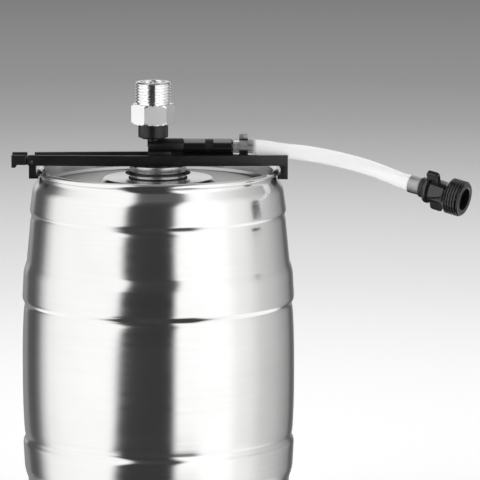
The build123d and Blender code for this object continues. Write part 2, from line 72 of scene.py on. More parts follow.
# ---------------------------------------------------------------------------- mesh helpers
def add_piece(name, mesh, material, body, slot, *nodes):
    """A visible piece that rides on a CAD body and stands for these CAD nodes."""
    piece = bpy.data.objects.new(name, mesh)
    scene.collection.objects.link(piece)
    mesh.materials.clear()
    mesh.materials.append(material)
    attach(piece, body)
    if nodes:
        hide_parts(*nodes)
    return piece


def smooth(mesh, angle):
    """Shade a mesh smooth, and leave the edges that turn by more than the angle, in degrees, sharp."""
    mesh.polygons.foreach_set("use_smooth", [True] * len(mesh.polygons))
    mesh.set_sharp_from_angle(angle=math.radians(angle))
    mesh.update()


def arc(start, middle, end, steps):
    """Points along the circle through three (radius, height) points."""
    (ax, ay), (bx, by), (cx, cy) = start, middle, end
    d = 2 * (ax * (by - cy) + bx * (cy - ay) + cx * (ay - by))
    a2, b2, c2 = ax * ax + ay * ay, bx * bx + by * by, cx * cx + cy * cy
    ux = (a2 * (by - cy) + b2 * (cy - ay) + c2 * (ay - by)) / d
    uy = (a2 * (cx - bx) + b2 * (ax - cx) + c2 * (bx - ax)) / d
    radius = math.hypot(ax - ux, ay - uy)
    first = math.atan2(ay - uy, ax - ux)
    last = math.atan2(cy - uy, cx - ux)
    turn = (last - first + math.pi) % (2 * math.pi) - math.pi
    angles = [first + turn * i / steps for i in range(steps + 1)]
    return [(ux + radius * math.cos(a), uy + radius * math.sin(a)) for a in angles]


NEARLY_STRAIGHT = math.radians(172)


def rounded(points, radius, steps):
    """A closed outline with each corner rounded, by at most a third of its shorter side."""
    out = []
    for i, corner in enumerate(points):
        before, after = Vector(points[i - 1]), Vector(points[(i + 1) % len(points)])
        corner = Vector(corner)
        to_before, to_after = before - corner, after - corner
        angle = to_before.angle(to_after)
        if angle > NEARLY_STRAIGHT:
            out.append(tuple(corner))
            continue
        reach = min(radius / math.tan(angle / 2), to_before.length / 3, to_after.length / 3)
        start = corner + to_before.normalized() * reach
        end = corner + to_after.normalized() * reach
        for k in range(steps + 1):
            t = k / steps
            out.append(tuple(start * (1 - t) ** 2 + corner * 2 * t * (1 - t) + end * t * t))
    return out


SAME_SPOT = 1e-7


def lathe(outline, origin, axis=(0, 0, 1), right=(1, 0, 0), columns=288, shape=None, angle=32):
    """A closed solid of revolution. outline is a loop of (radius, height) in millimetres, and shape
    may change a point's radius by where it is round the axis."""
    up = Vector(axis).normalized()
    x_dir = (Vector(right) - up * Vector(right).dot(up)).normalized()
    y_dir = up.cross(x_dir)
    bm = bmesh.new()
    rows = []
    for radius, height in outline:
        row = []
        for c in range(columns):
            turn = 2 * math.pi * c / columns
            r = shape(radius, height, turn) if shape else radius
            spot = x_dir * (r * math.cos(turn)) + y_dir * (r * math.sin(turn)) + up * height
            row.append(bm.verts.new(Vector(origin) + spot * MM))
        rows.append(row)
    for i, row in enumerate(rows):
        other = rows[(i + 1) % len(rows)]
        for c in range(columns):
            d = (c + 1) % columns
            bm.faces.new((row[c], row[d], other[d], other[c]))
    bmesh.ops.remove_doubles(bm, verts=bm.verts, dist=SAME_SPOT)
    bmesh.ops.recalc_face_normals(bm, faces=bm.faces)
    mesh = bpy.data.meshes.new("lathe")
    bm.to_mesh(mesh)
    bm.free()
    smooth(mesh, angle)
    return mesh


# A CAD mesh's corners are joined when closer than CAD_JOIN, and its faces when flat within FLAT_WITHIN.
CAD_JOIN, FLAT_WITHIN = 2e-6, math.radians(1.0)
EDGE_SEGMENTS, EDGE_FROM, EDGE_SMOOTH = 2, math.radians(28), 30


def softened(node, material, slot, width):
    """A copy of a CAD node with its flat faces whole again and its edges rounded, to stand for it."""
    bm = bmesh.new()
    bm.from_mesh(frame["nodes"][node].data)
    bmesh.ops.remove_doubles(bm, verts=bm.verts, dist=CAD_JOIN)
    bmesh.ops.dissolve_limit(bm, angle_limit=FLAT_WITHIN, verts=bm.verts, edges=bm.edges)
    bmesh.ops.recalc_face_normals(bm, faces=bm.faces)
    mesh = bpy.data.meshes.new(node)
    bm.to_mesh(mesh)
    bm.free()
    piece = add_piece(node + "_look", mesh, material, BODY_OF[node], slot, node)
    bevel = piece.modifiers.new("edges", "BEVEL")
    bevel.width = width * MM
    bevel.segments = EDGE_SEGMENTS
    bevel.limit_method = "ANGLE"
    bevel.angle_limit = EDGE_FROM
    bevel.use_clamp_overlap = True
    depsgraph = bpy.context.evaluated_depsgraph_get()
    done = bpy.data.meshes.new_from_object(piece.evaluated_get(depsgraph))
    piece.modifiers.clear()
    piece.data = done
    smooth(done, EDGE_SMOOTH)
    return piece


BODY_OF = {
    node: body for body, members in frame["record"]["behaviour"]["bodies"].items() for node in members
}


# ---------------------------------------------------------------------------- materials
class Shader:
    """A small builder for node materials."""

    def __init__(self, name, **values):
        self.material = bpy.data.materials.new(name)
        self.material.use_nodes = True
        self.tree = self.material.node_tree
        self.bsdf = self.tree.nodes["Principled BSDF"]
        for socket, value in values.items():
            self.bsdf.inputs[socket.replace("_", " ")].default_value = value
        self.place = self.node("ShaderNodeTexCoord").outputs["Object"]

    def node(self, kind, **settings):
        made = self.tree.nodes.new(kind)
        for name, value in settings.items():
            setattr(made, name, value)
        return made

    def link(self, source, target):
        self.tree.links.new(source, target)

    def math(self, operation, a, b=None):
        made = self.node("ShaderNodeMath", operation=operation)
        for i, value in enumerate((a, b)):
            if isinstance(value, bpy.types.NodeSocket):
                self.link(value, made.inputs[i])
            elif value is not None:
                made.inputs[i].default_value = value
        return made.outputs[0]

    def noise(self, scale, detail=3.0, stretch=(1, 1, 1), place=None, rough=0.55):
        mapped = self.node("ShaderNodeMapping")
        mapped.inputs["Scale"].default_value = stretch
        self.link(place or self.place, mapped.inputs["Vector"])
        made = self.node("ShaderNodeTexNoise")
        made.inputs["Scale"].default_value = scale
        made.inputs["Detail"].default_value = detail
        made.inputs["Roughness"].default_value = rough
        self.link(mapped.outputs[0], made.inputs["Vector"])
        return made.outputs["Fac"]

    def spread(self, source, low, high, from_low=0.3, from_high=0.7):
        made = self.node("ShaderNodeMapRange")
        for i, value in enumerate((from_low, from_high, low, high)):
            made.inputs[i + 1].default_value = value
        self.link(source, made.inputs[0])
        return made.outputs[0]

    def tones(self, source, *stops):
        made = self.node("ShaderNodeValToRGB")
        ramp = made.color_ramp
        while len(ramp.elements) < len(stops):
            ramp.elements.new(1.0)
        for element, (spot, tone) in zip(ramp.elements, stops):
            element.position = spot
            element.color = (*tone, 1) if isinstance(tone, tuple) else (tone, tone, tone, 1)
        self.link(source, made.inputs[0])
        return made.outputs[0]

    def bump(self, height, strength, distance):
        made = self.node("ShaderNodeBump")
        made.inputs["Strength"].default_value = strength
        made.inputs["Distance"].default_value = distance
        self.link(height, made.inputs["Height"])
        if self.bsdf.inputs["Normal"].is_linked:
            self.link(self.bsdf.inputs["Normal"].links[0].from_socket, made.inputs["Normal"])
        self.link(made.outputs[0], self.bsdf.inputs["Normal"])

    def to(self, socket, source):
        self.link(source, self.bsdf.inputs[socket])


def radius_of(shader):
    """Distance from the keg's axis."""
    split = shader.node("ShaderNodeSeparateXYZ")
    shader.link(shader.place, split.inputs[0])
    x, y, _ = split.outputs
    squares = shader.math("ADD", shader.math("MULTIPLY", x, x), shader.math("MULTIPLY", y, y))
    return shader.math("SQRT", squares)


def turned_place(shader):
    """Coordinates for lines round the keg: slow along them, and fast up the wall or in along the top."""
    split = shader.node("ShaderNodeSeparateXYZ")
    shader.link(shader.place, split.inputs[0])
    x, y, z = split.outputs
    across = shader.math("SUBTRACT", z, radius_of(shader))
    joined = shader.node("ShaderNodeCombineXYZ")
    shader.link(x, joined.inputs[0])
    shader.link(y, joined.inputs[1])
    shader.link(across, joined.inputs[2])
    return joined.outputs[0]


def keg_steel(name="keg_steel", recess_shade=1.0):
    """Rolled steel. Between the raised middle of the top end and the bead its tone may be darkened, a painted
    shade in the recess.
    """
    s = Shader(name, Metallic=1.0, Anisotropic=0.75, Anisotropic_Rotation=0.25)
    tangent = s.node("ShaderNodeTangent", direction_type="RADIAL", axis="Z")
    s.link(tangent.outputs[0], s.bsdf.inputs["Tangent"])
    turned = turned_place(s)
    lines = s.noise(1.0, 5.0, (9, 9, 5200), turned, 0.7)
    wide = s.noise(1.0, 3.0, (5, 5, 420), turned)
    smudge = s.noise(14.0, 4.0)
    tone = s.tones(s.math("ADD", s.math("MULTIPLY", lines, 0.5), s.math("MULTIPLY", smudge, 0.5)),
                   (0.3, (0.68, 0.68, 0.675)), (0.5, (0.75, 0.75, 0.745)), (0.7, (0.8, 0.8, 0.795)))
    if recess_shade < 1.0:
        # The stops are radii in decimetres: the raised middle ends near 0.35 and the bead starts near 0.74.
        reach = s.math("MULTIPLY", radius_of(s), 10.0)
        # Painted shade: the base colour is darkened in the recessed ring between the raised middle and the
        # bead.
        recess_shade_tone = s.tones(reach, (0.0, 1.0), (0.345, 1.0), (0.365, recess_shade), (0.73, recess_shade), (0.742, 1.0))
        tint = s.node("ShaderNodeMix", data_type="RGBA", blend_type="MULTIPLY")
        tint.inputs["Factor"].default_value = 1.0
        s.link(tone, tint.inputs[6])
        s.link(recess_shade_tone, tint.inputs[7])
        tone = tint.outputs[2]
    s.to("Base Color", tone)
    rough = s.math("ADD", s.spread(lines, 0.13, 0.21), s.spread(smudge, -0.02, 0.04))
    s.to("Roughness", s.math("ADD", rough, s.spread(wide, -0.015, 0.02)))
    s.bump(lines, 0.10, 0.00002)
    s.bump(wide, 0.05, 0.00006)
    return s.material


def satin_steel(name, tone=0.6, rough=0.26, brushed=2600):
    """Fine-turned steel. brushed is how close its turned lines are."""
    s = Shader(name, Metallic=1.0, Anisotropic=0.4)
    lines = s.noise(1.0, 4.0, (30, 30, brushed), turned_place(s), 0.65)
    spots = s.noise(90.0, 4.0)
    s.to("Base Color", s.tones(spots, (0.3, tone * 0.86), (0.7, tone * 1.08)))
    uneven = s.spread(spots, -0.03, 0.05)
    s.to("Roughness", s.math("ADD", s.spread(lines, rough - 0.06, rough + 0.08), uneven))
    s.bump(lines, 0.12, 0.00003)
    return s.material


def chrome():
    s = Shader("chrome", Metallic=1.0)
    spots = s.noise(160.0, 5.0)
    haze = s.noise(28.0, 3.0)
    s.to("Base Color", s.tones(haze, (0.3, 0.82), (0.7, 0.9)))
    s.to("Roughness", s.math("ADD", s.spread(haze, 0.05, 0.11), s.spread(spots, 0.0, 0.04)))
    s.bump(spots, 0.03, 0.00005)
    return s.material


def plastic(name, tone, rough, grain=2600.0, depth=0.18, specular=0.5, top_highlight=0.0):
    """Moulded black plastic. depth is how strong its grain is, and the last argument is the tone of a
    painted highlight added to its upward faces."""
    s = Shader(name, Specular_IOR_Level=specular)
    fine = s.noise(grain, 3.0)
    cloud = s.noise(70.0, 3.0)
    scuffs = s.noise(1.0, 4.0, (900, 260, 260), None, 0.7)
    mixed = s.math("ADD", s.math("MULTIPLY", cloud, 0.6), s.math("MULTIPLY", scuffs, 0.4))
    colour = s.tones(mixed, (0.3, tone * 0.7), (0.55, tone), (0.72, tone * 1.5))
    if top_highlight:
        # Painted highlight: the colour is lightened where the surface faces up, as if lit from above.
        split = s.node("ShaderNodeSeparateXYZ")
        s.link(s.node("ShaderNodeNewGeometry").outputs["Normal"], split.inputs[0])
        top_lit_colour = s.node("ShaderNodeMix", data_type="RGBA", blend_type="ADD")
        top_lit_colour.inputs["Factor"].default_value = 1.0
        s.link(colour, top_lit_colour.inputs[6])
        top_highlight_tone = s.tones(split.outputs[2], (0.50, 0.0), (0.66, top_highlight), (0.88, top_highlight), (1.0, top_highlight * 0.5))
        s.link(top_highlight_tone, top_lit_colour.inputs[7])
        colour = top_lit_colour.outputs[2]
    s.to("Base Color", colour)
    uneven = s.spread(scuffs, -0.03, 0.05)
    s.to("Roughness", s.math("ADD", s.spread(cloud, rough - 0.05, rough + 0.07), uneven))
    s.bump(fine, depth, 0.00006)
    return s.material


def rubber():
    s = Shader("rubber", Specular_IOR_Level=0.35)
    fine = s.noise(1500.0, 4.0)
    cloud = s.noise(55.0, 3.0)
    s.to("Base Color", s.tones(cloud, (0.3, 0.012), (0.7, 0.024)))
    s.to("Roughness", s.spread(cloud, 0.52, 0.72))
    s.bump(fine, 0.25, 0.00008)
    return s.material


def brass():
    s = Shader("valve_brass", Metallic=1.0)
    lines = s.noise(1.0, 3.0, (2600, 60, 60))
    cloud = s.noise(120.0, 3.0)
    s.to("Base Color", s.tones(cloud, (0.3, (0.55, 0.40, 0.17)), (0.7, (0.74, 0.56, 0.27))))
    s.to("Roughness", s.math("ADD", s.spread(lines, 0.22, 0.34), s.spread(cloud, -0.03, 0.05)))
    s.bump(lines, 0.12, 0.00003)
    return s.material


BARB_ENDS, MILKY_AND_GLOWING_FROM = 0.0600, 0.0635


def clear_hose():
    """PVC hose. Stretched over the gas arm's barb it is clear, and past the barb it turns milky and glows
    more, a painted light that brightens it.
    """
    s = Shader("clear_hose", IOR=1.45, Coat_Weight=0.6)
    s.bsdf.inputs["Emission Color"].default_value = (1, 1, 1, 1)
    s.bsdf.inputs["Coat Roughness"].default_value = 0.05
    cloud = s.noise(45.0, 3.0)
    fine = s.noise(420.0, 3.0, (0.25, 1, 1))
    s.to("Base Color", s.tones(cloud, (0.3, (0.93, 0.935, 0.93)), (0.7, (0.97, 0.975, 0.97))))
    s.to("Roughness", s.math("ADD", s.spread(cloud, 0.04, 0.10), s.spread(fine, 0.0, 0.03)))
    split = s.node("ShaderNodeSeparateXYZ")
    s.link(s.place, split.inputs[0])
    s.to("Transmission Weight", s.spread(split.outputs[0], 0.88, 0.4, BARB_ENDS, MILKY_AND_GLOWING_FROM))
    # Painted light: the hose glows, faintly over the barb and more past it.
    s.to("Emission Strength", s.spread(split.outputs[0], 0.03, 0.14, BARB_ENDS, MILKY_AND_GLOWING_FROM))
    s.bump(fine, 0.05, 0.00008)
    return s.material


STEEL = keg_steel()
# The top end's steel, with a painted shade at half tone in its recessed ring.
TOP_STEEL = keg_steel("keg_top_steel", 0.5)
SATIN = satin_steel("satin_steel")
PIN_STEEL = satin_steel("pin_steel", 0.66, 0.2, 3600)
CHROME = chrome()
BRASS = brass()
RUBBER = rubber()
CLAMP_STEEL = satin_steel("clamp_steel", 0.46, 0.4, 1800)
NICKEL = satin_steel("nickel", 0.5, 0.24, 900)
BLACK = plastic("black_plastic", 0.009, 0.34)
GLOSS_BLACK = plastic("gloss_black", 0.008, 0.13, 1800.0, 0.06, 0.7)
# Glossy black with a painted highlight lightening its upward faces.
TOP_LIT_BLACK = plastic("top_lit_black", 0.008, 0.15, 1800.0, 0.06, 0.7, 0.26)
CLEAR = clear_hose()

# ---------------------------------------------------------------------------- hose
CONNECTOR_START = Vector((161.3, -19.0, KEG_TALL - 7.5))
CONNECTOR_AXIS = Vector((1.0, -0.5, -0.233)).normalized()
HOSE_R, HOSE_BORE = 5.0, 3.0


def above_rim(x, y, up):
    return Vector((x, y, KEG_TALL + up))


hose_route = [
    above_rim(48.35, 0.0, 13.8), above_rim(63.6, 0.0, 13.8), above_rim(79.2, -0.1, 11.0),
    above_rim(94.0, -0.9, 9.8), above_rim(109.0, -2.6, 7.4), above_rim(123.5, -5.4, 4.3),
    above_rim(137.0, -9.2, 0.8), above_rim(149.2, -13.6, -3.5),
    CONNECTOR_START - CONNECTOR_AXIS * 3.0, CONNECTOR_START + CONNECTOR_AXIS * 9.5,
]
line_data = bpy.data.curves.new("hose_line", "CURVE")
line_data.dimensions = "3D"
line_data.resolution_u = 12
spline = line_data.splines.new("NURBS")
spline.points.add(len(hose_route) - 1)
for point, spot in zip(spline.points, hose_route):
    point.co = (*(spot * MM), 1.0)
spline.order_u = 3
spline.use_endpoint_u = True
line_object = bpy.data.objects.new("hose_line", line_data)
scene.collection.objects.link(line_object)
bpy.context.view_layer.update()
line_mesh = bpy.data.meshes.new_from_object(line_object)
hose_line = [vertex.co.copy() for vertex in line_mesh.vertices]
bpy.data.objects.remove(line_object)

along = [0.0]
for before, after in zip(hose_line, hose_line[1:]):
    along.append(along[-1] + (after - before).length)
hose_length = along[-1]


# The hose swells over a barb's shoulder: where along it, by how much and over how far, in millimetres.
SWELL_AT = (1.6, 10.9, hose_length / MM - 11.2)
SWELL_HIGH, SWELL_LONG = 0.16, 1.1


def hose_swell(distance):
    """How much wider the hose is at a distance along it, in millimetres."""
    return sum(SWELL_HIGH * math.exp(-(((distance / MM) - spot) / SWELL_LONG) ** 2) for spot in SWELL_AT)


def tube(line, distances, outer, inner, columns=48):
    """A hollow tube along a line of points, closed at both ends. Its bore swells half as much."""
    bm = bmesh.new()
    side = Vector((0, 1, 0))
    rings = []
    for i, spot in enumerate(line):
        ahead = (line[min(i + 1, len(line) - 1)] - line[max(i - 1, 0)]).normalized()
        side = (side - ahead * side.dot(ahead)).normalized()
        up = ahead.cross(side)
        wider = hose_swell(distances[i])
        pair = []
        for radius in (outer + wider, inner + wider * 0.5):
            pair.append([
                bm.verts.new(spot + (side * math.cos(a) + up * math.sin(a)) * radius * MM)
                for a in (2 * math.pi * c / columns for c in range(columns))
            ])
        rings.append(pair)
    for first, second in zip(rings, rings[1:]):
        for k in (0, 1):
            for c in range(columns):
                d = (c + 1) % columns
                bm.faces.new((first[k][c], first[k][d], second[k][d], second[k][c]))
    for outside, inside in (rings[0], rings[-1]):
        for c in range(columns):
            d = (c + 1) % columns
            bm.faces.new((outside[c], outside[d], inside[d], inside[c]))
    bmesh.ops.recalc_face_normals(bm, faces=bm.faces)
    mesh = bpy.data.meshes.new("tube")
    bm.to_mesh(mesh)
    bm.free()
    smooth(mesh, 50)
    return mesh


hose_mesh = tube(hose_line, along, HOSE_R, HOSE_BORE)
hose = add_piece("gas_hose_tube", hose_mesh, CLEAR, "keg", "clear_hose", "gas_hose")

# ---------------------------------------------------------------------------- keg
MID = KEG_TALL / 2
SHEET = 0.8
NECK_R, BELLY_R = 75.7, 87.58
BEAD_IN, BEAD_OUT, BEAD_TALL = 73.6, 77.5, 4.0


def below(radius, drop):
    """A (radius, height) point, from how far below the rim it is."""
    return (radius, KEG_TALL - drop)


def offset_line(points, amount):
    """The same open line moved sideways, to the left of its direction."""
    out = []
    for i, spot in enumerate(points):
        ahead = Vector(points[min(i + 1, len(points) - 1)]) - Vector(points[max(i - 1, 0)])
        left = Vector((-ahead.y, ahead.x)).normalized()
        out.append(tuple(Vector(spot) + left * amount))
    return out


upper_wall = [below(NECK_R, 5.6)] + arc(below(79.0, 10.2), below(80.1, 12.3), below(80.7, 14.8), 8)
upper_wall += arc(below(82.3, 26.8), below(81.4, 29.8), below(81.9, 32.6), 14)
upper_wall += arc(below(84.5, 59.8), below(85.7, 63.2), below(86.6, 67.2), 10)
upper_wall += [below(87.4, 82.2), below(87.3, 83.8), below(86.2, 85.8)]
upper_wall += arc(below(86.1, 86.2), below(86.0, 87.3), below(86.4, 89.6), 8)
upper_wall += [below(86.75, 93.0), below(87.3, 105.0), below(87.55, 118.0)]
lower_wall = [(radius, KEG_TALL - height) for radius, height in reversed(upper_wall)]


WALL_STEP, EASING_ROUNDS = 0.5, 3


def softened_wall():
    """The keg's outer wall from top to bottom, with the creases of its rolled grooves eased."""
    wall = [below(NECK_R, BEAD_TALL)] + upper_wall + [(BELLY_R, MID)] + lower_wall + [(NECK_R, BEAD_TALL)]
    fine = []
    for first, second in zip(wall, wall[1:]):
        steps = max(1, round((Vector(second) - Vector(first)).length / WALL_STEP))
        for k in range(steps):
            fine.append(tuple(Vector(first).lerp(Vector(second), k / steps)))
    fine.append(wall[-1])
    for _ in range(EASING_ROUNDS):
        fine = [fine[0]] + [
            ((a[0] + 2 * b[0] + c[0]) / 4, (a[1] + 2 * b[1] + c[1]) / 4)
            for a, b, c in zip(fine, fine[1:], fine[2:])
        ] + [fine[-1]]
    return thinned(fine)


LONGEST_STEP, SHORTEST_STEP, TURNS_BY = 5.0, 0.3, math.radians(2.0)


def thinned(points):
    """The same open line with only the points where it turns, and one at least every LONGEST_STEP."""
    kept = [points[0]]
    for spot, after in zip(points[1:], points[2:]):
        come, go = Vector(spot) - Vector(kept[-1]), Vector(after) - Vector(spot)
        if come.length > LONGEST_STEP or (come.length > SHORTEST_STEP and come.angle(go) > TURNS_BY):
            kept.append(spot)
    return kept + [points[-1]]


outer_wall = softened_wall()
inner_wall = offset_line(outer_wall, -SHEET)
for end in (0, -1):
    inner_wall[end] = (outer_wall[end][0] - SHEET, outer_wall[end][1])
keg_wall = lathe(outer_wall + inner_wall[::-1], (0, 0, 0), angle=40)
add_piece("keg_wall", keg_wall, STEEL, "keg", "keg_steel", "keg_body")

top_line = rounded(
    [below(72.9, 8.6), below(72.0, 10.5), below(39.5, 10.5), below(34.7, 6.0), below(18.3, 6.0),
     below(18.3, 6.8), below(34.4, 6.8), below(39.2, 11.3), below(72.6, 11.3), below(73.7, 8.8),
     below(74.4, BEAD_TALL), below(76.3, BEAD_TALL), below(BEAD_OUT, 2.8), below(BEAD_OUT, 1.2),
     below(76.2, 0.0), below(75.0, 0.0), below(BEAD_IN, 1.6)],
    1.3, 5,
)
keg_top = lathe(top_line, (0, 0, 0), angle=50)
add_piece("keg_top", keg_top, TOP_STEEL, "keg", "keg_steel", "keg_top_end")

DOME_R, DOME_LOW, DOME_HIGH = 72.6, 11.0, 17.0
# The arc runs on to the other side of the axis, and only its first half is turned.
dome = arc((DOME_R, DOME_LOW), (0.0, DOME_HIGH), (-DOME_R, DOME_LOW), 40)[:21]
dome_top = [(radius, height + SHEET) for radius, height in dome]
foot = rounded(
    [(BEAD_IN, 1.4), (74.8, 0.0), (76.3, 0.0), (BEAD_OUT, 1.2), (BEAD_OUT, 2.8), (76.5, BEAD_TALL),
     (74.4, BEAD_TALL), (73.4, 11.2)],
    1.0, 4,
)
foot_mesh = lathe(foot + dome_top[1:] + dome[::-1], (0, 0, 0), angle=40)
add_piece("keg_foot", foot_mesh, STEEL, "keg", "keg_steel", "keg_bottom_end")

# ---------------------------------------------------------------------------- threads and the outlet
THREAD_R, THREAD_PITCH, THREAD_DEEP = 11.455, 1.814, 0.85
# Shares of half a pitch: the flat of a crest, and the flank beside it.
CREST, FLANK = 0.32, 0.52
RUN_IN, RUN_OUT = 0.9, 0.5


def thread(height, turn, low, high):
    """How far in a point on a right-handed thread is, with both ends run out."""
    phase = (height / THREAD_PITCH - turn / (2 * math.pi)) % 1.0
    wave = abs(2 * phase - 1)
    flank = min(1.0, max(0.0, (wave - CREST) / FLANK))
    flank = flank * flank * (3 - 2 * flank)
    fade = min(1.0, max(0.0, (height - low) / RUN_IN), max(0.0, (high - height) / RUN_OUT))
    return THREAD_DEEP * flank * fade


HEAD_AXIS = Vector((-3.0, 0.0, KEG_TALL)) * MM
HEX_HALF, HEX_TURN = 24.5 / 2, math.radians(7.5)
HEX_LOW, THREAD_LOW, OUTLET_TOP = 28.5, 41.7, 55.69
OUTLET_BORE, OUTLET_FLOOR, OUTLET_WAY = 8.0, 45.0, 4.5
SPIGOT_BORE, SPIGOT_TOP = 7.35, 34.4
# Points of a threaded outline nearer its axis than THREADED are not threaded, and within PLAIN not hexagonal.
THREADED, PLAIN = 10, 12.3
THREAD_ROWS = 110


def hexagon(radius, height, turn):
    """The hexagon's sides between its chamfered ends, and the thread above it."""
    if THREAD_LOW + 0.01 < height < OUTLET_TOP - 0.9 and radius > THREADED:
        return radius - thread(height, turn, THREAD_LOW + 1.0, OUTLET_TOP - 0.9)
    if radius < PLAIN:
        return radius
    sixth = turn % (math.pi / 3) - math.pi / 6
    return min(radius, HEX_HALF / math.cos(sixth))


CORNER = HEX_HALF / math.cos(math.pi / 6)
adaptor = [(12.31, HEX_LOW), (CORNER - 0.9, HEX_LOW + 0.25), (CORNER - 0.1, HEX_LOW + 0.95)]
adaptor += [(CORNER, HEX_LOW + 1.3 + k * 1.06) for k in range(10)]
adaptor += [(CORNER, THREAD_LOW - 1.3), (CORNER - 0.1, THREAD_LOW - 0.95), (CORNER - 0.9, THREAD_LOW - 0.25)]
adaptor += [(12.31, THREAD_LOW)]
adaptor += [(10.35, THREAD_LOW), (10.3, THREAD_LOW + 0.2), (10.3, THREAD_LOW + 0.8)]
adaptor += [
    (THREAD_R, THREAD_LOW + 1.0 + (OUTLET_TOP - 1.9 - THREAD_LOW) * k / THREAD_ROWS)
    for k in range(THREAD_ROWS + 1)
]
adaptor += [(10.6, OUTLET_TOP - 0.15), (10.4, OUTLET_TOP), (8.35, OUTLET_TOP), (8.05, OUTLET_TOP - 0.3)]
adaptor += [(OUTLET_BORE, OUTLET_TOP - 0.6), (OUTLET_BORE, OUTLET_FLOOR), (OUTLET_WAY, OUTLET_FLOOR)]
adaptor += [(OUTLET_WAY, SPIGOT_TOP), (SPIGOT_BORE, SPIGOT_TOP), (SPIGOT_BORE, HEX_LOW)]
corner_way = (math.cos(HEX_TURN), math.sin(HEX_TURN), 0)
hex_mesh = lathe(adaptor, HEAD_AXIS, right=corner_way, columns=240, shape=hexagon, angle=24)
add_piece("outlet_adaptor", hex_mesh, CHROME, "keg", "chrome", "hex_adaptor")

# ---------------------------------------------------------------------------- winged connector
connector_up = (Vector((0, 0, 1)) - CONNECTOR_AXIS * CONNECTOR_AXIS.z).normalized()


SLEEVE_LOW, SLEEVE_HIGH, SLEEVE_ROWS = 28.7, 37.2, 70


def connector_shape(radius, height, turn):
    """The thread on the connector's sleeve."""
    if SLEEVE_LOW < height < SLEEVE_HIGH and radius > THREADED:
        return radius - thread(height, turn, SLEEVE_LOW, SLEEVE_HIGH)
    return radius


coupling = [(2.85, 11.1), (6.4, 11.1)]
coupling += arc((6.6, 11.1), (8.2, 11.7), (8.9, 13.0), 8)
coupling += [(8.85, 14.3), (8.7, 14.75), (8.05, 15.7), (8.0, 16.2), (7.8, 25.4), (8.0, 25.8), (11.0, 28.3)]
coupling += [(11.3, 28.6)] + [(THREAD_R, 28.75 + 8.4 * k / SLEEVE_ROWS) for k in range(SLEEVE_ROWS + 1)]
coupling += [(10.6, 37.25), (10.6, 38.0), (10.5, 38.35), (10.1, 38.65), (9.8, 38.7), (7.3, 38.7), (7.0, 38.5)]
coupling += [(6.9, 38.2), (6.9, 27.9), (2.85, 27.9)]
bm = bmesh.new()
bm.from_mesh(lathe(coupling, CONNECTOR_START * MM, CONNECTOR_AXIS, connector_up, 160, connector_shape, 30))


WING_TILT = math.radians(35.0)
RIBS, RIB_FIRST, RIB_PITCH = 4, 1.25, 1.55
RIB_ROOT, RIB_WIDE, RIB_SPREAD, RIB_HIGH = 9.6, 0.6, 0.3, 0.32


def add_wing(bm, tilt):
    """One finger wing: a thick blade on the connector's shoulder, with ribs on both of its faces."""
    out = Matrix.Rotation(tilt, 3, CONNECTOR_AXIS) @ connector_up
    across = CONNECTOR_AXIS.cross(out).normalized()
    near, far, root, tip, half = 13.3, 21.7, 7.0, 16.2, 1.6
    outline = [(root, near), (tip - 1.6, near), (tip - 0.45, near + 0.5), (tip, near + 1.7), (tip, far - 1.7),
               (tip - 0.45, far - 0.5), (tip - 1.6, far), (root, far)]
    middle_height, middle_radius = (near + far) / 2, (root + tip) / 2
    sides = []
    for side, inset in ((-half, 0.35), (-half + 0.35, 0.0), (half - 0.35, 0.0), (half, 0.35)):
        ring = []
        for radius, height in outline:
            h = height + (inset if height < middle_height else -inset)
            r = radius - inset if radius > middle_radius else radius
            spot = out * r + CONNECTOR_AXIS * h + across * side
            ring.append(bm.verts.new((CONNECTOR_START + spot) * MM))
        sides.append(ring)
    for first, second in zip(sides, sides[1:]):
        for i in range(len(outline)):
            k = (i + 1) % len(outline)
            bm.faces.new((first[i], first[k], second[k], second[i]))
    bm.faces.new(sides[0])
    bm.faces.new(sides[-1])
    for face_side in (-1, 1):
        for rib in range(RIBS):
            low = near + RIB_FIRST + rib * RIB_PITCH
            ring = []
            for lift, grow in ((0.0, RIB_SPREAD), (RIB_HIGH, 0.0)):
                flat = (half + lift) * face_side
                first, last = low - grow, low + RIB_WIDE + grow
                corners = ((RIB_ROOT, first), (tip - 1.0, first), (tip - 1.0, last), (RIB_ROOT, last))
                ring.append([
                    bm.verts.new((CONNECTOR_START + out * r + CONNECTOR_AXIS * h + across * flat) * MM)
                    for r, h in corners
                ])
            for i in range(4):
                k = (i + 1) % 4
                bm.faces.new((ring[0][i], ring[0][k], ring[1][k], ring[1][i]))
            bm.faces.new(ring[1])
            bm.faces.new(ring[0])


for half_turn in (0.0, math.pi):
    add_wing(bm, WING_TILT + half_turn)
bmesh.ops.recalc_face_normals(bm, faces=bm.faces)
coupling_mesh = bpy.data.meshes.new("connector")
bm.to_mesh(coupling_mesh)
bm.free()
smooth(coupling_mesh, 34)
coupling_piece = add_piece(
    "winged_connector", coupling_mesh, GLOSS_BLACK, "connector", "gloss_black", "connector_body"
)

collar = [(2.9, 9.6), (5.2, 9.6), (5.2, 7.9), (6.2, 7.9), (6.5, 8.3), (6.5, 10.6), (6.2, 10.95), (2.9, 10.95)]
collar_mesh = lathe(collar, CONNECTOR_START * MM, CONNECTOR_AXIS, connector_up, 96)
collar_piece = add_piece("stop_collar", collar_mesh, BLACK, "keg", "black_plastic", "stop_ring")

# ---------------------------------------------------------------------------- moulded and small metal pieces
softened("clamp_bar", BLACK, "black_plastic", 0.35)
softened("latch_lever", BLACK, "black_plastic", 0.3)
softened("head_body", BLACK, "black_plastic", 0.22)
softened("snap_crown", BLACK, "black_plastic", 0.25)
softened("clamp_screw", CLAMP_STEEL, "pin_steel", 0.2)
softened("compression_ring", SATIN, "satin_steel", 0.15)

